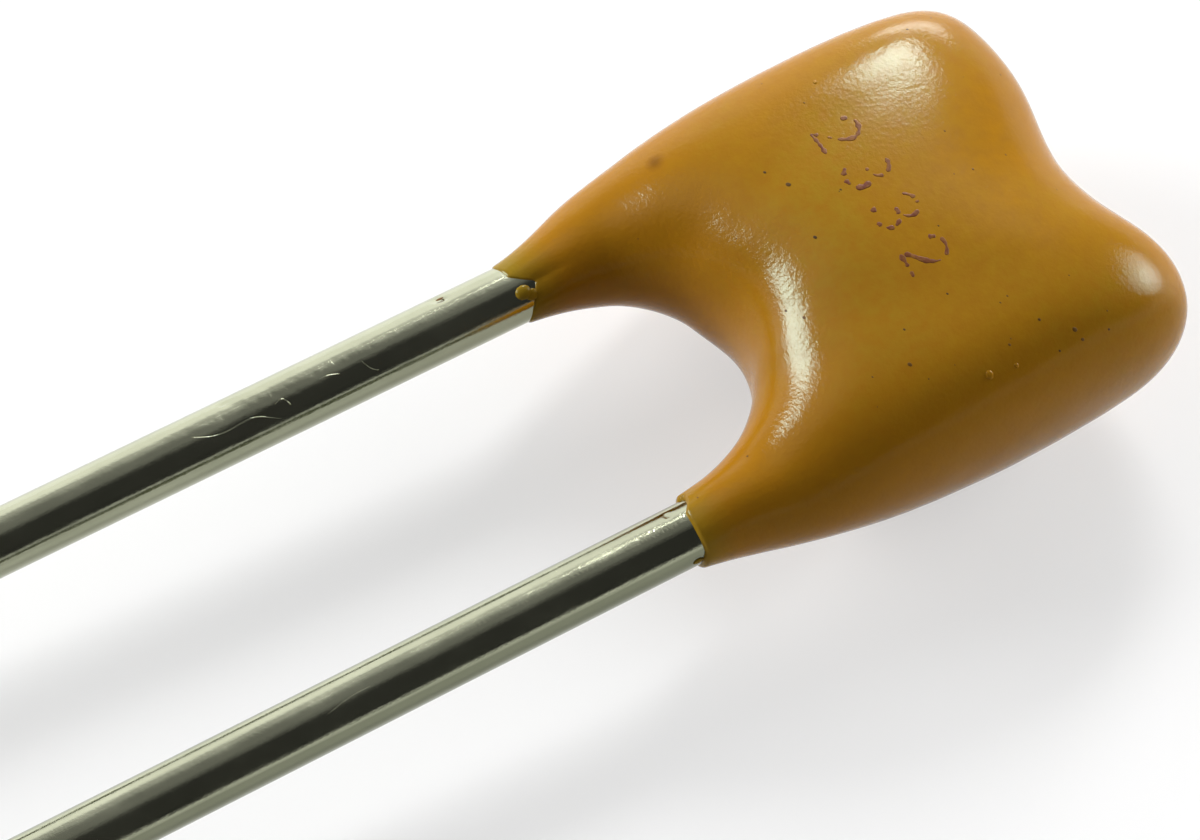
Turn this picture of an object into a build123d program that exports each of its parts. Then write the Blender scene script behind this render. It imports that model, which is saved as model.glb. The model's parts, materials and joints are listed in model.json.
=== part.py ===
from build123d import *
import math
import os

# A dipped multilayer ceramic capacitor with two straight wire leads, in millimetres.
# X runs from the left lead to the right lead, Y from the lead tips up into the body, and Z is the thickness.
# The origin is midway between the two wires, level with the ends of the coating on them.

# Leads
lead_pitch = 2.54
lead_dia = 0.51
lead_free = 25.4
lead_past_chip = 0.25
lead_tip_chamfer = 0.06
lead_press = 0.03

# Ceramic chip and its end caps
chip_height = 2.03
chip_thick = 1.2
chip_corner = 0.12
cap_wall = 0.04
cap_band = 0.35

# Electrodes
electrodes_per_side = 6
electrode_thick = 0.02
electrode_step = 0.08
electrode_side_margin = 0.2
electrode_end_margin = 0.25

# Solder
solder_film = 0.03
solder_skin = 0.04
solder_inset = 0.14
solder_flank_share = 0.3

# Coating: the covers are its thickness over the chip and the wires
leg_skin = 0.05
arch_rise = 1.16
arch_cover = 0.47
dip_cover = 0.55
side_cover_left = 0.39
side_cover_right = 0.34
face_cover = 0.52
horn_cover_left = 0.44
horn_cover_right = 0.61

# Slices of the coating from a leg to the middle. Each row gives where the slice stands on the arch as a share of
# its quarter turn, the outer end as shares of the half width, of the horn's height and of the dip's height, the
# half thickness as a share of the body's, and how full the oval is towards the outline and towards the arch, where
# the round share makes an ellipse.
round_share = 0.552
slice_shares = [
    (0.13, 0.88, 0.080, 0, 0.38, 0.55, 0.55),
    (0.28, 0.94, 0.187, 0, 0.46, 0.57, 0.56),
    (0.44, 0.99, 0.355, 0, 0.64, 0.61, 0.56),
    (0.61, 1.00, 0.609, 0, 0.82, 0.66, 0.65),
    (0.70, 0.98, 0.821, 0, 0.89, 0.66, 0.75),
    (0.77, 0.87, 0.968, 0, 0.93, 0.66, 0.79),
    (0.82, 0.67, 1.000, 0, 0.96, 0.66, 0.78),
    (0.90, 0.36, 0, 1.032, 0.99, 0.66, 0.75),
]
middle_full_share = 0.66
middle_arch_full_share = 0.73

# Sizes that follow from those above
half_pitch = lead_pitch / 2
lead_radius = lead_dia / 2
chip_base = arch_rise + arch_cover
chip_top = chip_base + chip_height
chip_middle = chip_base + chip_height / 2
lead_top = chip_top + lead_past_chip
pressed_half = lead_radius - lead_press
pressed_spread = lead_radius ** 2 / pressed_half
cap_face = half_pitch - pressed_half - solder_film
chip_half_length = cap_face - cap_wall
solder_foot = chip_thick / 2 + cap_wall - solder_inset
solder_half = pressed_half + solder_skin
solder_spread = pressed_spread + solder_skin
solder_flank = cap_face + (half_pitch - cap_face) * solder_flank_share
leg_radius = lead_radius + leg_skin
arch_half_width = half_pitch - leg_radius
half_thick = chip_thick / 2 + face_cover
dip_top = chip_top + dip_cover
lead_side = half_pitch + lead_radius
half_widths = {"left": lead_side + side_cover_left, "right": lead_side + side_cover_right}
horn_tops = {"left": lead_top + horn_cover_left, "right": lead_top + horn_cover_right}
sides = {"left": -1, "right": 1}

os.makedirs("parts", exist_ok=True)


def keep(piece, name):
    """Label a finished piece and write it under its own name."""
    piece.part.label = name
    export_step(piece.part, "parts/" + name + ".step")


def slice_face(inner, outer, thick, full_share, arch_full_share):
    """One upright oval slice of the coating, from a point on the arch to a point on the outline."""
    across = Vector(*outer) - Vector(*inner)
    plane = Plane((Vector(*inner) + Vector(*outer)) / 2, x_dir=across, z_dir=across.cross(Vector(0, 0, 1)))
    reach = across.length / 2
    with BuildLine(plane) as oval:
        for end, face in [(1, 1), (-1, 1), (-1, -1), (1, -1)]:
            share = full_share if end > 0 else arch_full_share
            Bezier(
                (end * reach, 0),
                (end * reach, face * thick * share),
                (end * reach * share, face * thick),
                (0, face * thick),
            )
    return Face(oval.wire())


def leg_slice(name):
    """The round slice at the end of the coating on one wire."""
    inner = (sides[name] * arch_half_width, 0)
    outer = (sides[name] * (half_pitch + leg_radius), 0)
    return slice_face(inner, outer, leg_radius, round_share, round_share)


def side_slice(name, row):
    """One slice of a side of the coating, from its row of shares."""
    arch_share, reach_share, horn_share, dip_share, thick_share, full_share, arch_full_share = row
    turn = math.radians(90 * arch_share)
    inner = (sides[name] * arch_half_width * math.cos(turn), arch_rise * math.sin(turn))
    outer = (sides[name] * half_widths[name] * reach_share, horn_tops[name] * horn_share + dip_top * dip_share)
    return slice_face(inner, outer, half_thick * thick_share, full_share, arch_full_share)


# Leads: round wires, pressed to an oval of the same section where they lie on the chip, with their cut tips eased
leads = {}
for name, side in sides.items():
    with BuildPart() as lead:
        with BuildSketch(Plane.XZ.offset(lead_free)):
            with Locations((side * half_pitch, 0)):
                Circle(lead_radius)
        extrude(amount=-lead_free)
        chamfer(lead.edges().group_by(Axis.Y)[0], lead_tip_chamfer)
        with BuildSketch(Plane.XZ):
            with Locations((side * half_pitch, 0)):
                Circle(lead_radius)
        with BuildSketch(Plane.XZ.offset(-chip_base)):
            with Locations((side * half_pitch, 0)):
                Ellipse(pressed_half, pressed_spread)
        loft()
        with BuildSketch(Plane.XZ.offset(-chip_base)):
            with Locations((side * half_pitch, 0)):
                Ellipse(pressed_half, pressed_spread)
        extrude(amount=chip_base - lead_top)
    leads[name] = lead
    keep(lead, "lead_" + name)

# Chip blank: the ceramic block before its electrodes are let in
with BuildPart() as chip_blank:
    with BuildSketch(Plane.YZ):
        with Locations((chip_middle, 0)):
            RectangleRounded(chip_height, chip_thick, chip_corner)
    extrude(amount=chip_half_length, both=True)

# Electrodes: thin plates that reach one end of the chip and stop short of the other
electrodes = []
plate_length = 2 * chip_half_length - electrode_end_margin
plate_width = chip_height - 2 * electrode_side_margin
plate_count = electrodes_per_side * len(sides)
stack_base = -(plate_count - 1) * electrode_step / 2
for layer in range(electrodes_per_side):
    for order, (name, side) in enumerate(sides.items()):
        plate_middle = stack_base + (layer * len(sides) + order) * electrode_step
        with BuildPart() as electrode:
            with Locations((side * electrode_end_margin / 2, chip_middle, plate_middle)):
                Box(plate_length, plate_width, electrode_thick)
        electrodes.append(electrode)
        keep(electrode, "electrode_" + name + "_" + str(layer + 1))

# Ceramic chip: the blank with a slot for each electrode
with BuildPart() as ceramic_chip:
    add(chip_blank.part)
    for electrode in electrodes:
        add(electrode.part, mode=Mode.SUBTRACT)
keep(ceramic_chip, "ceramic_chip")

# Terminations: thin caps over the chip's ends, with a band round its four sides
terminations = {}
for name, side in sides.items():
    with BuildPart() as termination:
        with BuildSketch(Plane.YZ.offset(side * cap_face)):
            with Locations((chip_middle, 0)):
                RectangleRounded(chip_height + 2 * cap_wall, chip_thick + 2 * cap_wall, chip_corner + cap_wall)
        extrude(amount=-side * (cap_wall + cap_band))
        add(chip_blank.part, mode=Mode.SUBTRACT)
    terminations[name] = termination
    keep(termination, "termination_" + name)

# Solder: a skin round each wire that flares on to the face of the cap
solders = {}
for name, side in sides.items():
    with BuildPart() as solder:
        with BuildSketch(Plane.XZ.offset(-chip_top)):
            with BuildLine():
                Line((side * cap_face, -solder_foot), (side * cap_face, solder_foot))
                for face in [1, -1]:
                    Bezier(
                        (side * cap_face, face * solder_foot),
                        (side * solder_flank, face * solder_spread),
                        (side * half_pitch, face * solder_spread),
                    )
                Line((side * half_pitch, solder_spread), (side * half_pitch, -solder_spread))
            make_face()
            with Locations((side * half_pitch, 0)):
                Ellipse(solder_half, solder_spread)
                Ellipse(pressed_half, pressed_spread, mode=Mode.SUBTRACT)
        extrude(amount=chip_height)
        add(terminations[name].part, mode=Mode.SUBTRACT)
    solders[name] = solder
    keep(solder, "solder_" + name)

# Coating: slices fan out round the arch from one leg to the other, and the inner pieces are cut out of the dip
slices = [leg_slice("right")]
for row in slice_shares:
    slices.append(side_slice("right", row))
slices.append(slice_face((0, arch_rise), (0, dip_top), half_thick, middle_full_share, middle_arch_full_share))
for row in reversed(slice_shares):
    slices.append(side_slice("left", row))
slices.append(leg_slice("left"))
with BuildPart() as epoxy_coating:
    loft(slices)
    add(chip_blank.part, mode=Mode.SUBTRACT)
    for name in sides:
        add(terminations[name].part, mode=Mode.SUBTRACT)
        add(solders[name].part, mode=Mode.SUBTRACT)
        add(leads[name].part, mode=Mode.SUBTRACT)
keep(epoxy_coating, "epoxy_coating")
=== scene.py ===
import json
import math

import bmesh
import bpy
import numpy as np
from mathutils import Matrix, Vector, noise
from mathutils.bvhtree import BVHTree


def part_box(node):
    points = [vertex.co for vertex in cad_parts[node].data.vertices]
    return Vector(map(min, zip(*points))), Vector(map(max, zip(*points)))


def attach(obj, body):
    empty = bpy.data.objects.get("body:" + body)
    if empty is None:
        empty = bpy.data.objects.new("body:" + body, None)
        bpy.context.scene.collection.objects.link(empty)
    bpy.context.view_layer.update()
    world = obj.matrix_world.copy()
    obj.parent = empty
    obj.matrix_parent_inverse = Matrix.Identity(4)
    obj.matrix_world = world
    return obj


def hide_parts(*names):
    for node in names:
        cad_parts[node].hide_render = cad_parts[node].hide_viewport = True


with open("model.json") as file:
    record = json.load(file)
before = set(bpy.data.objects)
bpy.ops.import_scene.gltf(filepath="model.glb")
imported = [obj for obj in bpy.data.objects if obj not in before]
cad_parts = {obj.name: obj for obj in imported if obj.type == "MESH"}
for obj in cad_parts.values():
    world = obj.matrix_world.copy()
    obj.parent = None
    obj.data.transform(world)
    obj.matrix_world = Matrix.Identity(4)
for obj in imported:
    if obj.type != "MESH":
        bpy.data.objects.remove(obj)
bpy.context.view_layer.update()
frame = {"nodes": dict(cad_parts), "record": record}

# A dipped ceramic capacitor lying on its side. Sizes are in millimetres and angles in degrees.
# X runs from the left lead to the right lead, Y from the lead tips into the body, and Z is up.
mm = 0.001
quarter_turn = 90
half_turn = 180
full_turn = 360
sides = {"left": -1, "right": 1}
mounts = {mount["name"]: mount["dims"] for mount in frame["record"]["mounts"]}

# Leads
half_pitch = mounts["leads"]["spacing_x_mm"] / 2
lead_radius = mounts["leads"]["stud_r_mm"]
lead_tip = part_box("lead_left")[0].y / mm
lead_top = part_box("lead_left")[1].y / mm
lead_tip_chamfer = 0.06
lead_fine_length = 4.6
lead_fine_step = 0.022
lead_plain_step = 0.3
lead_around = 96
lead_press = 0.03
pressed_from = 1.63
pressed_half = lead_radius - lead_press
pressed_spread = lead_radius ** 2 / pressed_half

# Coating
leg_radius = 0.305
arch_half_width = half_pitch - leg_radius
arch_rise = 1.16
half_thick = 1.12
ray_height = 2 * half_thick
dip_top = 4.21
half_widths = {"left": 1.915, "right": 1.865}
horn_tops = {"left": 4.35, "right": 4.52}
round_share = 0.552
middle_full_shares = (0.66, 0.73)
coating_rings = 420
ring_curves = 4
coating_around = 128
lip_steps = 5
lip_length = 0.04
lip_sink = 0.03
lip_skin_shares = {"left": 0.3, "right": 0.9}
leg_blend = 0.5

# Slices of the coating from a leg to the middle, as shares: turn on the arch, reach, horn height, dip height,
# thickness, and fullness by the outline and by the arch
slice_shares = [
    (0.13, 0.88, 0.080, 0, 0.38, 0.55, 0.55),
    (0.28, 0.94, 0.187, 0, 0.46, 0.57, 0.56),
    (0.44, 0.99, 0.355, 0, 0.64, 0.61, 0.56),
    (0.61, 1.00, 0.609, 0, 0.82, 0.66, 0.65),
    (0.70, 0.98, 0.821, 0, 0.89, 0.66, 0.75),
    (0.77, 0.87, 0.968, 0, 0.93, 0.66, 0.79),
    (0.82, 0.67, 1.000, 0, 0.96, 0.66, 0.78),
    (0.90, 0.36, 0, 1.032, 0.99, 0.66, 0.75),
]

# Ragged ends of the coating: angle round the wire from its outer side over the top, and the end's place there
coating_ends = {
    "left": [
        (20, -0.20), (45, -0.21), (85, -0.18), (100, -0.09), (112, 0.0),
        (135, -0.05), (160, -0.10), (190, -0.13), (270, -0.10),
    ],
    "right": [
        (0, -0.05), (20, -0.03), (60, -0.045), (100, -0.045), (120, 0.02),
        (143, 0.05), (152, 0.02), (158, 0.01), (200, 0.02), (290, -0.06),
    ],
}

# Lumps of the coating: waves to a millimetre, and height
lumps = [(0.9, 0.006), (2.6, 0.003), (6.0, 0.001)]

# Dark specks in the coating: place on the upper face and radius of the clear ones, and how the rest scatter
specks = [
    (-0.574, 1.898, 0.024), (-0.053, 1.822, 0.018), (-0.78, 1.81, 0.014), (0.285, 1.366, 0.014),
    (0.438, 1.432, 0.016), (1.236, 1.893, 0.02), (0.977, 2.0, 0.012), (1.46, 2.67, 0.014),
    (1.4, 2.98, 0.014), (1.64, 3.04, 0.012), (1.566, 3.218, 0.024), (1.64, 3.256, 0.018),
    (1.65, 3.5, 0.012),
]
scattered_specks = 70
scattered_sizes = (0.005, 0.012)
scatter_seed = 7
speck_way = (1, 0.5, 0)
speck_width_share = 0.7
speck_rise_share = 0.16

# Pimples of coating: place on the upper face, and radius
pimples = [(1.572, 2.426, 0.04), (1.6, 2.66, 0.022), (-1.3, 2.6, 0.022)]
pimple_way = (1, 0, 0)
pimple_width_share = 0.8
pimple_rise_share = 0.3

# Beads of coating on the wires, and a dark dome painted as the shade of a nick in the left wire: place on the
# wire, angle, half length, half width and height
beads = {
    "left": [(-0.16, 122, 0.07, 0.06, 0.03), (-0.1, 132, 0.055, 0.05, 0.02)],
    "right": [(-0.128, 6, 0.05, 0.03, 0.014)],
}
painted_nick_shade = {"left": [(-0.77, 58, 0.035, 0.016, 0.003)]}
wire_way = (0, 1, 0)
dome_rings = 7
dome_around = 12

# Printed number: strokes of each digit as shares of its width and height
digit_shares = {
    "2": [
        [(0.04, 0.76), (0.2, 0.96), (0.58, 1.0), (0.92, 0.8), (0.8, 0.5), (0.36, 0.22), (0.02, 0.0)],
        [(0.02, 0.0), (0.5, 0.02), (1.0, 0.0)],
    ],
    "3": [
        [(0.04, 0.84), (0.3, 1.0), (0.7, 0.98), (0.92, 0.77), (0.74, 0.57), (0.38, 0.52)],
        [(0.38, 0.52), (0.8, 0.46), (0.98, 0.24), (0.7, 0.02), (0.3, 0.0), (0.02, 0.14)],
    ],
}
mark_number = "2332"
mark_middle = (-0.12, 2.47)
mark_height = 0.36
mark_width = 0.24
mark_step = 0.43
mark_line = 0.034
mark_rise = 0.002
mark_grain = 0.008
mark_end_share = 1.02
mark_end_power = 8
mark_uneven_waves = 25
mark_wear_waves = 18
mark_wear_level = -0.22
mark_fewest_points = 4

# Dents and scuffs of the wires: place along the wire, angle, half length, half angle and depth
dents = {
    "left": [(-0.79, 56, 0.05, 9, 0.014), (-0.74, 63, 0.03, 6, 0.01), (-2.72, 60, 0.04, 8, 0.006)],
    "right": [(-0.2, 118, 0.03, 8, 0.008), (-0.54, 56, 0.02, 5, 0.006), (-1.3, 52, 0.02, 5, 0.005)],
}
scuffs = {
    "left": [(-2.5, 85, 0.9, 40, 0.004), (-1.5, 115, 0.3, 25, 0.002)],
    "right": [(-3.2, 75, 0.5, 20, 0.001)],
}
scuff_waves = 16

# Scratches of the wires: places along the wire and angles on each path
scratches = {
    "left": [
        [(-3.11, 92), (-3.02, 104), (-2.8, 115), (-2.55, 115), (-2.45, 126), (-2.36, 138)],
        [(-2.37, 110), (-2.31, 105), (-2.27, 114), (-2.26, 123)],
        [(-1.97, 103), (-1.89, 104), (-1.79, 110)],
        [(-1.59, 108), (-1.54, 127), (-1.49, 135)],
    ],
    "right": [[(-3.3, 70), (-3.1, 78), (-2.9, 80)]],
}
scratch_line = 0.008
scratch_rise = 0.002
scratch_grain = 0.015
scratch_end_share = 1.05
scratch_end_power = 2
stroke_around = 8
path_fewest_points = 3

# Noise patterns: waves to a millimetre, steps of detail, and roughness of the detail
coating_clouds = (0.8, 3, 0.5)
coating_mottle = (9, 4, 0.6)
coating_ripples = (4, 2, 0.5)
coating_grain = (26, 3, 0.6)
ink_wear = (20, 3, 0.6)
ink_grain = (40, 3, 0.6)
grit_tone = (3, 2, 0.5)
grit_grain = (60, 3, 0.5)
wire_streaks = (22, 3, 0.6)
wire_dullness = (4, 4, 0.6)
wire_tarnish = (1.2, 4, 0.6)
wire_grain = (36, 3, 0.6)
ceramic_grain = (30, 4, 0.6)
floor_clouds = (0.01, 2, 0.5)

# Spans of noise that are stretched to the whole range from 0 to 1
even_span = (0.35, 0.65)
wide_span = (0.3, 0.7)
low_span = (0.35, 0.7)
high_span = (0.4, 0.7)

# Colours of the coating: clouds of two ochres, a mottle, darker orange shoulders that are painted shade,
# olive ends and a brown smudge
warm_ochre = (0.37, 0.163, 0.006, 1)
green_ochre = (0.317, 0.178, 0.012, 1)
mottle_ochre = (0.318, 0.145, 0.008, 1)
# Painted shade: lower down on its shoulders the coating is darker and more orange than on its upper face
shaded_shoulder_orange = (0.345, 0.142, 0.004, 1)
shoulder_shade_span = (0.7, 1.08)
shoulder_shade_share = 0.6
lip_olive = (0.22, 0.165, 0.012, 1)
lip_span = (-0.15, 0.2)
lip_share = 0.7
smudge_brown = (0.125, 0.042, 0.006, 1)
smudge_place = (-1.42, 1.2, 0.7)
smudge_span = (0.02, 0.1)
smudge_share = 0.55

# Surface of the coating. Its spans tell which way it faces: to the lead tips, up, to the far rim, or edge on
coating_roughness = (0.13, 0.2)
coating_ior = 1.42
gloss_tint = (0.7, 1, 0.88, 1)
tipward_span = (-0.5, 0)
tipward_gloss = (0.64, 0.32)
tipward_grain_shares = (1, 0.6)
grain_depth = 0.0038
ripple_depth = 0.0012
upward_span = (0.5, 0.75)
edge_blend = 0.5
face_edge_span = (0.35, 0.65)
face_edge_gloss = 0.12
side_edge_span = (0.55, 0.75)
side_gloss = 0.08
rim_way = (-0.6, 0.8, 0)
rim_span = (0.68, 0.82)
rim_gloss = (0.09, 0.45)

# Ink, and grit that also serves as painted shade in a nick
ink_purple = (0.13, 0.036, 0.02, 1)
ink_brown = (0.24, 0.1, 0.02, 1)
ink_roughness = (0.35, 0.55)
ink_depth = 0.002
grit_dark = (0.05, 0.024, 0.004, 1)
grit_brown = (0.14, 0.065, 0.008, 1)
grit_roughness = (0.4, 0.7)
dull_gloss = 0.2

# Tin on the wires, with painted shade on the underside, deeper on the right wire
bright_tin = (0.72, 0.74, 0.54, 1)
dull_tin = (0.62, 0.64, 0.46, 1)
painted_shade_tin = (0.13, 0.14, 0.09, 1)
painted_shade_span = (0.12, 0.19)
painted_shade_shares = (0.62, 0.86)
tin_roughness = (0.12, 0.2)
tin_depth = 0.001
streak_stretch = (1, 0.05, 1)
dullness_stretch = (1, 0.5, 1)

# Ceramic and metals inside: name, two colours, roughness and grain of each metal
ceramic_brown = (0.15, 0.085, 0.045, 1)
ceramic_tan = (0.2, 0.12, 0.07, 1)
ceramic_roughness = (0.55, 0.8)
ceramic_depth = 0.003
metal_depth = 0.002
metals = {
    "electrode": ("fired_electrode", (0.32, 0.31, 0.29, 1), (0.24, 0.23, 0.21, 1), (0.4, 0.6), (40, 4, 0.6)),
    "termination": ("tinned_cap", (0.62, 0.62, 0.6, 1), (0.5, 0.5, 0.48, 1), (0.3, 0.5), (25, 4, 0.6)),
    "solder": ("solder", (0.5, 0.5, 0.5, 1), (0.38, 0.38, 0.38, 1), (0.2, 0.4), (8, 4, 0.6)),
}

# Sockets of a mix node: the share, the two colours, and the result
mix_inputs = (0, 6, 7)
mix_output = 2

# Camera, from the photograph
eye = (14.893, -10.408, 31.938)
view_turn = 55.33
view_rise = 60.55
view_roll = 4.72
lens_length = 139.8
sensor_width = 36
clip_near = 1
clip_far = 3000

# Floor
floor_size = 4000
floor_greys = ((0.93, 0.93, 0.93, 1), (0.96, 0.96, 0.96, 1))
floor_roughness = 0.35
floor_white = (1, 1, 1, 1)
floor_white_share = 0.55

# Lamps: turn, rise, width, height, brightness and roll
lamp_distance = 150
lamp_aim = (0, dip_top / 2, 0)
lamps = {
    "left_front": (-41, 24.5, 74, 80, 14.4, 16),
    "left_back": (-127.5, 33.5, 62, 33, 27, 46),
    "left_low": (-130, 5, 74, 40, 9.5, 0),
    "back": (172, 18, 100, 90, 6.1, 0),
    "back_core": (173, 17, 48, 40, 7, 0),
}

# Room: how high it is pale, its levels left and right, and glows: way, dot products at start and full, level
pale_span = (0.03, 0.2)
left_span = (-0.1, 0.2)
side_levels = (0.16, 0.03)
glows = [
    ((-0.75, 0.5, 0.43), 0.77, 1.1, 0.8),
    ((-0.93, 0.33, 0.15), 0.86, 0.95, 0.95),
    ((-0.4, -0.45, 0.8), 0.88, 0.97, 0.4),
    ((-0.42, 0.5, 0.757), 0.965, 0.99, 0.85),
]


# Curves and meshes
def smooth(places, values, wanted):
    """Read a smooth curve through the values at the wanted places."""
    step = np.diff(places)
    slope = np.diff(values, axis=0) / step[:, None]
    count = len(places)
    matrix = np.eye(count)
    bend = np.zeros_like(values)
    for k in range(1, count - 1):
        matrix[k, k - 1:k + 2] = step[k - 1], 2 * (step[k - 1] + step[k]), step[k]
        bend[k] = 6 * (slope[k] - slope[k - 1])
    bend = np.linalg.solve(matrix, bend)
    k = np.clip(np.searchsorted(places, wanted, side="right") - 1, 0, count - 2)
    before = (wanted - places[k])[:, None]
    width = step[k][:, None]
    after = width - before
    curve = (bend[k] * after ** 3 + bend[k + 1] * before ** 3) / (6 * width)
    return (
        curve
        + (values[k] / width - bend[k] * width / 6) * after
        + (values[k + 1] / width - bend[k + 1] * width / 6) * before
    )


def running_length(points):
    """Distance along a path at each of its points."""
    return np.concatenate([[0], np.cumsum(np.linalg.norm(np.diff(points, axis=0), axis=1))])


def even_path(points, grain):
    """A smooth path through the points, with steps of one size."""
    points = np.array(points, float)
    places = running_length(points)
    count = max(path_fewest_points, int(places[-1] / grain))
    return smooth(places, points, np.linspace(0, places[-1], count))


def even_turns(count):
    """Angles in radians, evenly spaced round a full turn."""
    return np.radians(np.arange(count) * full_turn / count)


def tube_faces(rings, around):
    """Quads of a tube of rings, closed by fans on two end points that follow the rings."""
    faces = []
    for ring in range(rings - 1):
        for k in range(around):
            here = ring * around + k
            beside = ring * around + (k + 1) % around
            faces.append((here, beside, beside + around, here + around))
    first_end = rings * around
    last = (rings - 1) * around
    for k in range(around):
        beside = (k + 1) % around
        faces.append((first_end, beside, k))
        faces.append((first_end + 1, last + k, last + beside))
    return faces


def closed_tube(rings):
    """Points and faces of a tube of rings, closed at the middle of its first and last ring."""
    rings = np.asarray(rings)
    ends = [rings[0].mean(axis=0), rings[-1].mean(axis=0)]
    return np.concatenate([rings.reshape(-1, 3), ends]), tube_faces(*rings.shape[0:2])


def joined(parts):
    """Several pairs of points and faces as one."""
    points, faces, count = [], [], 0
    for part_points, part_faces in parts:
        faces += [tuple(k + count for k in face) for face in part_faces]
        points.append(part_points)
        count += len(part_points)
    return np.concatenate(points), faces


def add_piece(name, points, faces, material, slot=None, node=None):
    """Make a smooth mesh piece from points in millimetres and let it ride on the part."""
    mesh = bpy.data.meshes.new(name)
    mesh.from_pydata((np.array(points) * mm).tolist(), [], faces)
    shell = bmesh.new()
    shell.from_mesh(mesh)
    bmesh.ops.recalc_face_normals(shell, faces=shell.faces)
    shell.to_mesh(mesh)
    shell.free()
    mesh.shade_smooth()
    mesh.materials.append(material)
    piece = bpy.data.objects.new(name, mesh)
    bpy.context.scene.collection.objects.link(piece)
    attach(piece, "root")
    if node:
        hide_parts(node)


# Nodes of a material
def new_material(name):
    """A node material, its tree and its main shader."""
    material = bpy.data.materials.new(name)
    material.use_nodes = True
    tree = material.node_tree
    return material, tree, tree.nodes["Principled BSDF"]


def fill_inputs(tree, node, inputs):
    """Give each input of a node a value, or link it to another node's output."""
    for key, value in inputs.items():
        if isinstance(value, bpy.types.NodeSocket):
            tree.links.new(value, node.inputs[key])
        else:
            node.inputs[key].default_value = value


def add_node(tree, kind, inputs=None, **settings):
    """Add a node, set its options and fill its inputs."""
    node = tree.nodes.new(kind)
    for key, value in settings.items():
        setattr(node, key, value)
    fill_inputs(tree, node, inputs or {})
    return node


def millimetres(tree, stretch=(1, 1, 1)):
    """Place on the part in millimetres, stretched along the axes."""
    place = add_node(tree, "ShaderNodeTexCoord").outputs["Object"]
    scale = [share / mm for share in stretch]
    return add_node(tree, "ShaderNodeMapping", {"Vector": place, "Scale": scale}).outputs["Vector"]


def axis_parts(tree, vector):
    """The X, Y and Z of a vector."""
    return add_node(tree, "ShaderNodeSeparateXYZ", {"Vector": vector}).outputs


def speckle(tree, place, waves, detail, rough):
    """Cloudy noise from 0 to 1, by a pattern."""
    inputs = {"Vector": place, "Scale": waves, "Detail": detail, "Roughness": rough}
    return add_node(tree, "ShaderNodeTexNoise", inputs).outputs["Fac"]


def spread(tree, value, low, high, to_low=0, to_high=1):
    """Stretch a value from one range to another, held at the ends."""
    inputs = {"Value": value, "From Min": low, "From Max": high, "To Min": to_low, "To Max": to_high}
    return add_node(tree, "ShaderNodeMapRange", inputs).outputs["Result"]


def number(tree, operation, first, second):
    """One number from two."""
    return add_node(tree, "ShaderNodeMath", {0: first, 1: second}, operation=operation).outputs[0]


def vector_number(tree, operation, first, second):
    """One number from two vectors."""
    node = add_node(tree, "ShaderNodeVectorMath", {0: first, 1: second}, operation=operation)
    return node.outputs["Value"]


def mix_colour(tree, share, first, second):
    """Two colours mixed by a share."""
    inputs = dict(zip(mix_inputs, (share, first, second)))
    return add_node(tree, "ShaderNodeMix", inputs, data_type="RGBA").outputs[mix_output]


def bump(tree, height, depth, under=None):
    """Roughen the surface by a height of 0 to 1 that is so many millimetres deep."""
    inputs = {"Height": height, "Distance": depth * mm, "Strength": 1}
    if under is not None:
        inputs["Normal"] = under
    return add_node(tree, "ShaderNodeBump", inputs).outputs["Normal"]


# Coating material: glossy ochre epoxy, mottled, with a fine grain that frays the highlights
def coating_colour(tree, place, mottle):
    """Ochre with its stains, and painted shade on the lower shoulders."""
    clouds = spread(tree, speckle(tree, place, *coating_clouds), *even_span)
    colour = mix_colour(tree, clouds, warm_ochre, green_ochre)
    colour = mix_colour(tree, mottle, colour, mottle_ochre)
    parts = axis_parts(tree, place)
    # Painted shade on the shoulders, darker and more orange below the upper face
    painted_shoulder_shade = spread(tree, parts["Z"], *shoulder_shade_span, shoulder_shade_share, 0)
    colour = mix_colour(tree, painted_shoulder_shade, colour, shaded_shoulder_orange)
    lips = spread(tree, parts["Y"], *lip_span, lip_share, 0)
    colour = mix_colour(tree, lips, colour, lip_olive)
    off = vector_number(tree, "DISTANCE", place, smudge_place)
    smudge = spread(tree, off, *smudge_span, smudge_share, 0)
    return mix_colour(tree, smudge, colour, smudge_brown)


def coating_gloss(tree, facing):
    """More gloss on the upper face, above all towards the lead tips, and on the far rim than on the sides."""
    ways = axis_parts(tree, facing)
    edges = add_node(tree, "ShaderNodeLayerWeight", {"Blend": edge_blend}).outputs["Facing"]
    tipward = spread(tree, ways["Y"], *tipward_span, *tipward_gloss)
    face = spread(tree, edges, *face_edge_span, tipward, face_edge_gloss)
    turned = vector_number(tree, "DOT_PRODUCT", facing, rim_way)
    rim = spread(tree, turned, *rim_span, *rim_gloss)
    side = spread(tree, edges, *side_edge_span, side_gloss, rim)
    return spread(tree, ways["Z"], *upward_span, side, face)


def coating_bumps(tree, place, facing):
    """Soft ripples over a fine grain that is strongest towards the lead tips."""
    share = spread(tree, axis_parts(tree, facing)["Y"], *tipward_span, *tipward_grain_shares)
    grain = number(tree, "MULTIPLY", speckle(tree, place, *coating_grain), share)
    fine = bump(tree, grain, grain_depth)
    return bump(tree, speckle(tree, place, *coating_ripples), ripple_depth, fine)


def coating_material():
    """Dipped epoxy."""
    material, tree, shader = new_material("dipped_epoxy")
    place = millimetres(tree)
    facing = add_node(tree, "ShaderNodeTexCoord").outputs["Normal"]
    mottle = spread(tree, speckle(tree, place, *coating_mottle), *wide_span)
    fill_inputs(tree, shader, {
        "Base Color": coating_colour(tree, place, mottle),
        "Roughness": spread(tree, mottle, 0, 1, *coating_roughness),
        "Specular IOR Level": coating_gloss(tree, facing),
        "Normal": coating_bumps(tree, place, facing),
        "IOR": coating_ior,
        "Specular Tint": gloss_tint,
    })
    return material


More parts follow.
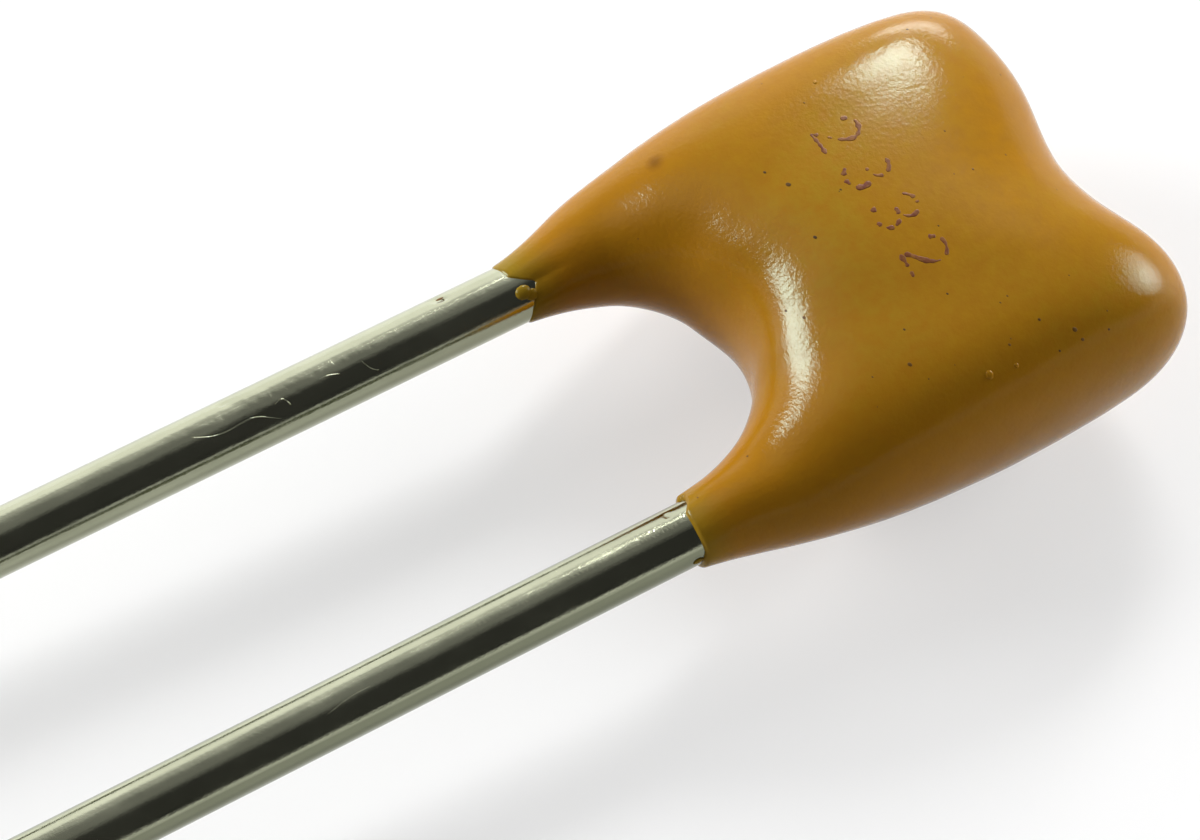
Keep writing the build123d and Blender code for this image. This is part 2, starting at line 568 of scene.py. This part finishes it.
# Ink and grit materials
def ink_material():
    """Worn purple-brown print."""
    material, tree, shader = new_material("worn_ink")
    place = millimetres(tree)
    wear = spread(tree, speckle(tree, place, *ink_wear), *low_span)
    fill_inputs(tree, shader, {
        "Base Color": mix_colour(tree, wear, ink_purple, ink_brown),
        "Roughness": spread(tree, wear, 0, 1, *ink_roughness),
        "Specular IOR Level": dull_gloss,
        "Normal": bump(tree, speckle(tree, place, *ink_grain), ink_depth),
    })
    return material


def grit_and_shade_material():
    """Dark grit, also used as painted shade in a nick on a wire."""
    material, tree, shader = new_material("dark_grit_and_nick_shade")
    place = millimetres(tree)
    tone = spread(tree, speckle(tree, place, *grit_tone), *even_span)
    fill_inputs(tree, shader, {
        "Base Color": mix_colour(tree, tone, grit_dark, grit_brown),
        "Roughness": spread(tree, speckle(tree, place, *grit_grain), 0, 1, *grit_roughness),
        "Specular IOR Level": dull_gloss,
    })
    return material


# Lead material
def lead_material():
    """Bright tin over a drawn wire, with lengthwise streaks and dull patches, and painted shade low down that
    is deeper on the right wire.
    """
    material, tree, shader = new_material("tinned_wire")
    place = millimetres(tree)
    parts = axis_parts(tree, place)
    streaks = speckle(tree, millimetres(tree, streak_stretch), *wire_streaks)
    dull = spread(tree, speckle(tree, millimetres(tree, dullness_stretch), *wire_dullness), *high_span)
    tarnish = spread(tree, speckle(tree, place, *wire_tarnish), *low_span)
    colour = mix_colour(tree, tarnish, bright_tin, dull_tin)
    # Painted shade on the wire's underside, deeper on the right wire than the left
    share = spread(tree, parts["X"], -half_pitch, half_pitch, *painted_shade_shares)
    under = spread(tree, parts["Z"], *painted_shade_span, share, 0)
    streaked = bump(tree, streaks, tin_depth)
    fill_inputs(tree, shader, {
        "Base Color": mix_colour(tree, under, colour, painted_shade_tin),
        "Roughness": spread(tree, dull, 0, 1, *tin_roughness),
        "Metallic": 1,
        "Normal": bump(tree, speckle(tree, place, *wire_grain), tin_depth, streaked),
    })
    return material


# Inner materials
def ceramic_material():
    """Fired ceramic."""
    material, tree, shader = new_material("fired_ceramic")
    grain = speckle(tree, millimetres(tree), *ceramic_grain)
    fill_inputs(tree, shader, {
        "Base Color": mix_colour(tree, spread(tree, grain, *even_span), ceramic_brown, ceramic_tan),
        "Roughness": spread(tree, grain, 0, 1, *ceramic_roughness),
        "Normal": bump(tree, grain, ceramic_depth),
    })
    return material


def metal_material(name, bright, dark, roughness, pattern):
    """A dull metal with a grain."""
    material, tree, shader = new_material(name)
    grain = speckle(tree, millimetres(tree), *pattern)
    fill_inputs(tree, shader, {
        "Base Color": mix_colour(tree, spread(tree, grain, *even_span), bright, dark),
        "Roughness": spread(tree, grain, *wide_span, *roughness),
        "Metallic": 1,
        "Normal": bump(tree, grain, metal_depth),
    })
    return material


# Coating mesh: slices fan out round the arch from the right leg to the left leg
def slice_rows():
    """Inner point, outer point, half thickness and fullness of each slice."""
    halves = {}
    for name, side in sides.items():
        leg_reach = half_pitch + leg_radius
        rows = [(side * arch_half_width, 0, side * leg_reach, 0, leg_radius, round_share, round_share)]
        for row in slice_shares:
            arch_share, reach_share, horn_share, dip_share, thick_share, full_share, inner_share = row
            turn = math.radians(quarter_turn * arch_share)
            rows.append((
                side * arch_half_width * math.cos(turn),
                arch_rise * math.sin(turn),
                side * half_widths[name] * reach_share,
                horn_tops[name] * horn_share + dip_top * dip_share,
                half_thick * thick_share,
                full_share,
                inner_share,
            ))
        halves[name] = rows
    middle = (0, arch_rise, 0, dip_top, half_thick, *middle_full_shares)
    return np.array(halves["right"] + [middle] + halves["left"][::-1], float)


def fan_points():
    """Points of the coating's rings, each of four cubic curves, in a block of rings by points by three."""
    rows = slice_rows()
    places = running_length((rows[:, 0:2] + rows[:, 2:4]) / 2)
    rows = smooth(places, rows, np.linspace(0, places[-1], coating_rings))
    inner, outer, thick = rows[:, 0:2], rows[:, 2:4], rows[:, 4:5]
    turn = np.arange(coating_around) * ring_curves / coating_around
    quarter = turn.astype(int)
    share = np.where(quarter % 2 == 1, 1 - (turn - quarter), turn - quarter)
    rest = 1 - share
    by_arch = (quarter == 1) | (quarter == 2)
    full = np.where(by_arch, rows[:, 6:7], rows[:, 5:6])
    across = (rest ** 3 + 3 * rest ** 2 * share) + 3 * rest * share ** 2 * full
    upward = (share ** 3 + 3 * rest * share ** 2) + 3 * rest ** 2 * share * full
    across = across * np.where(by_arch, -1, 1)
    upward = upward * np.where(quarter >= 2, -1, 1)
    middle = (inner + outer) / 2
    reach = (outer - inner) / 2
    points = np.zeros((coating_rings, coating_around, 3))
    points[:, :, 0:2] = middle[:, None, :] + across[:, :, None] * reach[:, None, :]
    points[:, :, 2] = thick * upward
    return points


def outward(points):
    """Unit normals of a block of ring points."""
    along = np.gradient(points, axis=0)
    around = np.roll(points, -1, axis=1) - np.roll(points, 1, axis=1)
    normal = np.cross(along, around)
    return normal / np.linalg.norm(normal, axis=2, keepdims=True)


def lump_heights(points):
    """How far each point stands out from the smooth form."""
    flat = points.reshape(-1, 3)
    heights = np.zeros(len(flat))
    for waves, height in lumps:
        heights += [height * noise.noise(Vector(point) * waves) for point in flat]
    return heights.reshape(points.shape[0:2])


def wire_angle(points, name):
    """Angle round a wire of each point, from its outer side over the top, and the distance from its axis."""
    across = (points[..., 0] - sides[name] * half_pitch) * sides[name]
    angle = np.degrees(np.arctan2(points[..., 2], across))
    return angle, np.hypot(across, points[..., 2])


def wire_point(name, angle, distance, y):
    """Points at an angle round a wire."""
    turn = np.radians(angle)
    across = sides[name] * (half_pitch + distance * np.cos(turn))
    return np.stack([across, y + np.zeros_like(across), distance * np.sin(turn)], axis=-1)


def fit_leg(points, name):
    """Draw one leg of the coating out to its ragged end, thinning towards it."""
    angle, distance = wire_angle(points, name)
    ends = coating_ends[name]
    end = np.interp(angle, [row[0] for row in ends], [row[1] for row in ends], period=full_turn)
    share = np.clip(1 - points[..., 1] / leg_blend, 0, 1) ** 2
    share = np.where(points[..., 0] * sides[name] > arch_half_width / 2, share, 0)
    thin = 1 - share * (1 - lip_skin_shares[name])
    distance = np.where(share > 0, lead_radius + (distance - lead_radius) * thin, distance)
    moved = wire_point(name, angle, distance, points[..., 1] + end * share)
    return np.where((share > 0)[..., None], moved, points)


def lip_rings(ring, name):
    """Rings that round the coating's end off on to the wire."""
    angle, distance = wire_angle(ring, name)
    rings = []
    for step in range(1, lip_steps + 1):
        turn = math.radians(quarter_turn * step / lip_steps)
        deep = lead_radius - lip_sink + (distance - lead_radius + lip_sink) * math.cos(turn)
        rings.append(wire_point(name, angle, deep, ring[:, 1] - lip_length * math.sin(turn)))
    return rings


def coating_mesh():
    """Points and faces of the coating."""
    points = fan_points()
    points = points + outward(points) * lump_heights(points)[:, :, None]
    for name in sides:
        points = fit_leg(points, name)
    right_lip = lip_rings(points[0], "right")[::-1]
    left_lip = lip_rings(points[-1], "left")
    return closed_tube(np.concatenate([right_lip, points, left_lip]))


# Lead meshes: a round wire with an eased tip, pressed to an oval inside the body
def lead_stations():
    """Distance along the wire, and the half sizes across and upright, of each ring."""
    rows = [(lead_tip, lead_radius - lead_tip_chamfer, lead_radius - lead_tip_chamfer)]
    plain = np.arange(lead_tip + lead_tip_chamfer, -lead_fine_length, lead_plain_step)
    fine = np.arange(-lead_fine_length, 0, lead_fine_step)
    rows += [(y, lead_radius, lead_radius) for y in np.concatenate([plain, fine])]
    rows += [(0, lead_radius, lead_radius), (pressed_from, pressed_half, pressed_spread)]
    rows.append((lead_top, pressed_half, pressed_spread))
    return rows


def bell(y, angle, row):
    """Full depth at a dent's middle, falling off smoothly round it."""
    place, middle, length, width, depth = row
    off = (angle - middle + half_turn) % full_turn - half_turn
    return depth * np.exp(-((y - place) / length) ** 2 - (off / width) ** 2)


def lead_mesh(name):
    """Points and faces of one lead, with its dents and scuffs."""
    y, across, upright = np.array(lead_stations()).T[:, :, None]
    angle = np.arange(lead_around)[None, :] * full_turn / lead_around
    turn = np.radians(angle)
    y = y + np.zeros_like(turn)
    depth = sum(bell(y, angle, row) for row in dents[name])
    scuff = sum(bell(y, angle, row) for row in scuffs[name])
    points = np.stack([across * np.cos(turn), y, upright * np.sin(turn)], axis=2)
    rough = np.array([abs(noise.noise(Vector(point) * scuff_waves)) for point in points.reshape(-1, 3)])
    depth = depth + scuff * rough.reshape(y.shape)
    points[:, :, 0] -= depth * np.cos(turn)
    points[:, :, 2] -= depth * np.sin(turn)
    points[:, :, 0] = sides[name] * (half_pitch + points[:, :, 0])
    return closed_tube(points)


# Small things on a surface: flat strokes and low domes
def stroke(path, normals, widths, rise):
    """A flat closed tube along a path on a surface."""
    along = np.gradient(path, axis=0)
    along /= np.linalg.norm(along, axis=1, keepdims=True)
    beside = np.cross(along, normals)
    turn = even_turns(stroke_around)
    return closed_tube(
        path[:, None, :]
        + (widths / 2)[:, None, None] * np.cos(turn)[None, :, None] * beside[:, None, :]
        + rise * np.sin(turn)[None, :, None] * normals[:, None, :]
    )


def dome(place, normal, way, length, width, rise):
    """A low closed egg on a surface, half sunk in it, that lies along a way."""
    normal = normal / np.linalg.norm(normal)
    beside = np.cross(way, normal)
    beside /= np.linalg.norm(beside)
    along = np.cross(normal, beside)
    turn = even_turns(dome_around)
    rings = []
    for step in range(1, dome_rings + 1):
        tip = math.radians(half_turn * step / (dome_rings + 1))
        flat = np.cos(turn)[:, None] * length * along + np.sin(turn)[:, None] * width * beside
        rings.append(place + math.sin(tip) * flat + math.cos(tip) * rise * normal)
    ends = [place + rise * normal, place - rise * normal]
    return np.concatenate(rings + [ends]), tube_faces(dome_rings, dome_around)


def on_coating(ground, x, y, upward=1):
    """Point and normal of the coating above or below a place, or nothing beside it."""
    start = Vector((x, y, upward * ray_height))
    point, normal = ground.ray_cast(start, Vector((0, 0, -upward)))[0:2]
    return (np.array(point), np.array(normal)) if point else None


def unworn_runs(path):
    """Stretches of a printed stroke that haven't worn off."""
    runs = [[]]
    for x, y in path:
        if noise.noise(Vector((x, y, 0)) * mark_wear_waves) < mark_wear_level:
            runs.append([])
        else:
            runs[-1].append((x, y))
    return [run for run in runs if len(run) >= mark_fewest_points]


def mark_stroke(ground, run):
    """One stretch of print on the coating, of uneven width and with rounded ends."""
    points, normals = (np.array(rows) for rows in zip(*[on_coating(ground, x, y) for x, y in run]))
    ends = np.linspace(-1, 1, len(run))
    uneven = [1 + noise.noise(Vector(point) * mark_uneven_waves) for point in points]
    widths = mark_line * np.array(uneven) * np.sqrt(mark_end_share - ends ** mark_end_power)
    return stroke(points, normals, widths, mark_rise)


def mark_strokes(ground):
    """The printed number, with its worn parts left out."""
    parts = []
    for place, digit in enumerate(mark_number):
        left = mark_middle[0] + (place - (len(mark_number) - 1) / 2) * mark_step - mark_width / 2
        foot = mark_middle[1] - mark_height / 2
        for shares in digit_shares[digit]:
            corners = [(left + x * mark_width, foot + y * mark_height) for x, y in shares]
            for run in unworn_runs(even_path(corners, mark_grain)):
                parts.append(mark_stroke(ground, run))
    return joined(parts)


def wire_domes(rows_by_name):
    """Low domes on the wires."""
    parts = []
    for name, rows in rows_by_name.items():
        for y, angle, length, width, rise in rows:
            place = wire_point(name, np.array(angle), lead_radius, y)
            axis = wire_point(name, np.array(angle), 0, y)
            parts.append(dome(place, place - axis, wire_way, length, width, rise))
    return parts


def speck_domes(ground):
    """Dark specks: the clear ones, fine ones scattered over both faces, and a dark dome of painted shade in
    the nick on the left wire.
    """
    rows = [(x, y, 1, radius) for x, y, radius in specks]
    chance = np.random.default_rng(scatter_seed)
    for k in range(scattered_specks):
        x = chance.uniform(-half_widths["left"], half_widths["right"])
        y = chance.uniform(0, dip_top)
        rows.append((x, y, chance.choice([-1, 1]), chance.uniform(*scattered_sizes)))
    parts = []
    for x, y, upward, radius in rows:
        found = on_coating(ground, x, y, upward)
        if found:
            width = radius * speck_width_share
            parts.append(dome(*found, speck_way, radius, width, radius * speck_rise_share))
    # The dark dome in the wire's nick is painted shade
    return joined(parts + wire_domes(painted_nick_shade))


def pimple_domes(ground):
    """Small pimples of coating."""
    parts = []
    for x, y, radius in pimples:
        width = radius * pimple_width_share
        parts.append(dome(*on_coating(ground, x, y), pimple_way, radius, width, radius * pimple_rise_share))
    return joined(parts)


def scratch_strokes(name):
    """Fine scratches on one wire."""
    parts = []
    for rows in scratches[name]:
        path = even_path([(y, math.radians(angle) * lead_radius) for y, angle in rows], scratch_grain)
        angle = np.degrees(path[:, 1] / lead_radius)
        points = wire_point(name, angle, lead_radius, path[:, 0])
        normals = points - wire_point(name, angle, 0, path[:, 0])
        normals /= np.linalg.norm(normals, axis=1, keepdims=True)
        ends = np.linspace(-1, 1, len(path))
        widths = scratch_line * (scratch_end_share - ends ** scratch_end_power)
        parts.append(stroke(points, normals, widths, scratch_rise))
    return joined(parts)


# Stage
def floor_material():
    """A pale floor that is partly plain white to the eye and in reflections, and keeps its shadow."""
    material, tree, shader = new_material("pale_floor")
    clouds = speckle(tree, millimetres(tree), *floor_clouds)
    fill_inputs(tree, shader, {
        "Base Color": mix_colour(tree, clouds, *floor_greys),
        "Roughness": floor_roughness,
    })
    seen = add_node(tree, "ShaderNodeLightPath").outputs
    looks = seen["Is Camera Ray"]
    for way in ("Is Glossy Ray", "Is Transmission Ray"):
        looks = number(tree, "MAXIMUM", looks, seen[way])
    share = spread(tree, looks, 0, 1, 0, floor_white_share)
    white = add_node(tree, "ShaderNodeEmission", {"Color": floor_white, "Strength": 1})
    mixed = add_node(tree, "ShaderNodeMixShader", {0: share, 1: shader.outputs[0], 2: white.outputs[0]})
    tree.links.new(mixed.outputs[0], tree.nodes["Material Output"].inputs["Surface"])
    return material


def add_floor(points):
    """A floor that touches the body's underside and the lead tips."""
    tip = np.array([0, lead_tip + lead_tip_chamfer, -lead_radius])
    slope = np.min((points[:, 2] - tip[2]) / (points[:, 1] - tip[1]))
    half = floor_size / 2
    corners = []
    for x, y in ((-half, -half), (half, -half), (half, half), (-half, half)):
        corners.append((x * mm, y * mm, (tip[2] + slope * (y - tip[1])) * mm))
    mesh = bpy.data.meshes.new("floor")
    mesh.from_pydata(corners, [], [(0, 1, 2, 3)])
    mesh.materials.append(floor_material())
    floor = bpy.data.objects.new("floor", mesh)
    bpy.context.scene.collection.objects.link(floor)


def way_back(turn, rise):
    """Unit vector from the part to an eye or a lamp at a turn and a rise."""
    across, up = math.radians(turn), math.radians(rise)
    return Vector((math.sin(across) * math.cos(up), -math.cos(across) * math.cos(up), math.sin(up)))


def add_lamp(name, turn, rise, width, height, brightness, roll):
    """A soft oval lamp that looks at the body from a turn and a rise, rolled on its axis."""
    back = way_back(turn, rise)
    lamp = bpy.data.lights.new(name, "AREA")
    lamp.shape = "ELLIPSE"
    lamp.size = width * mm
    lamp.size_y = height * mm
    lamp.energy = brightness * math.pi * math.pi * lamp.size * lamp.size_y / 4
    holder = bpy.data.objects.new(name, lamp)
    holder.location = (back * lamp_distance + Vector(lamp_aim)) * mm
    axes = back.to_track_quat("Z", "Y").to_matrix() @ Matrix.Rotation(math.radians(roll), 3, "Z")
    holder.rotation_euler = axes.to_euler()
    holder.visible_camera = False
    bpy.context.scene.collection.objects.link(holder)


def add_world():
    """A dim room, pale low down where the floor ends, dark on the right, with soft glows on the left."""
    world = bpy.data.worlds.new("studio")
    bpy.context.scene.world = world
    world.use_nodes = True
    tree = world.node_tree
    way = add_node(tree, "ShaderNodeTexCoord").outputs["Generated"]
    parts = axis_parts(tree, way)
    low = spread(tree, parts["Z"], *pale_span, 1, 0)
    left = spread(tree, parts["X"], *left_span, *side_levels)
    pale = number(tree, "MAXIMUM", low, left)
    for middle, start, full, level in glows:
        toward = vector_number(tree, "DOT_PRODUCT", way, middle)
        pale = number(tree, "MAXIMUM", pale, spread(tree, toward, start, full, 0, level))
    tree.links.new(pale, tree.nodes["Background"].inputs["Color"])


def add_camera():
    """The photograph's camera."""
    turn, roll = math.radians(view_turn), math.radians(view_roll)
    back = way_back(view_turn, view_rise)
    right = Vector((math.cos(turn), math.sin(turn), 0))
    rolled = right * math.cos(roll) + back.cross(right) * math.sin(roll)
    axes = Matrix((rolled, back.cross(rolled), back)).transposed()
    camera = bpy.data.cameras.new("camera")
    camera.sensor_width = sensor_width
    camera.sensor_fit = "HORIZONTAL"
    camera.lens = lens_length
    camera.clip_start = clip_near * mm
    camera.clip_end = clip_far * mm
    holder = bpy.data.objects.new("camera", camera)
    holder.matrix_world = Matrix.Translation(Vector(eye) * mm) @ axes.to_4x4()
    bpy.context.scene.collection.objects.link(holder)
    bpy.context.scene.camera = holder


# Build the pieces
epoxy = coating_material()
tin = lead_material()
coating_points, coating_faces = coating_mesh()
coating_ground = BVHTree.FromPolygons(coating_points.tolist(), coating_faces)
add_piece("coating", coating_points, coating_faces, epoxy, "coating", "epoxy_coating")
add_piece("coating_beads", *joined(wire_domes(beads)), epoxy, "coating")
add_piece("coating_pimples", *pimple_domes(coating_ground), epoxy, "coating")
add_piece("specks_and_nick_shade", *speck_domes(coating_ground), grit_and_shade_material())
add_piece("printed_number", *mark_strokes(coating_ground), ink_material())
for name in sides:
    add_piece("wire_" + name, *lead_mesh(name), tin, "lead", "lead_" + name)
    add_piece("scratches_" + name, *scratch_strokes(name), tin, "lead")

# Give the inner pieces their materials
inner = {kind: metal_material(*row) for kind, row in metals.items()}
inner["ceramic"] = ceramic_material()
for node_name, node in frame["nodes"].items():
    kind = node_name.split("_")[0]
    if kind in inner:
        node.data.materials.clear()
        node.data.materials.append(inner[kind])

# Stage, light and camera
add_floor(coating_points)
add_world()
for name, row in lamps.items():
    add_lamp(name, *row)
add_camera()
bpy.context.scene.view_settings.view_transform = "Standard"
